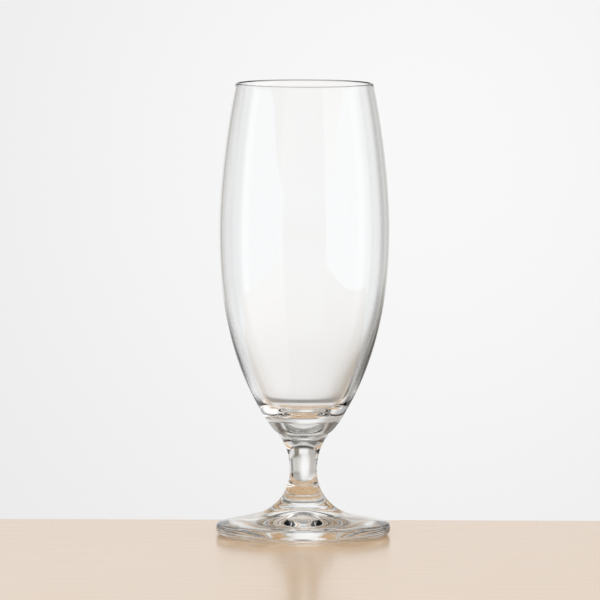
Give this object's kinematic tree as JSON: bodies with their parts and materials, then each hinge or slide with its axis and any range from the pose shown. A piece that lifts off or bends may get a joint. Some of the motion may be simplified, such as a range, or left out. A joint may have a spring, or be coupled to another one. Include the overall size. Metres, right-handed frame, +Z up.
{
  "type": "stemmed beer glass",
  "caption": "Clear stemmed drinking glass with a tall thin-walled barrel bowl on a short waisted stem and a low conical foot that it stands on.",
  "frame": {"origin": "centre of the foot's flat standing ring, on the surface that the glass stands on", "axes": "+Z up along the axis of the glass, from the foot to the rim; the glass is round, so X and Y are free"},
  "size_m": [0.0772, 0.0772, 0.2],
  "materials": {
    "bowl_glass": "clear, blown and fire-polished",
    "stem_glass": "clear, fire-polished",
    "foot_glass": "clear, pressed and fire-polished"
  },
  "bodies": {
    "root": {"bowl": "bowl_glass", "stem": "stem_glass", "foot": "foot_glass"}
  },
  "joints": []
}
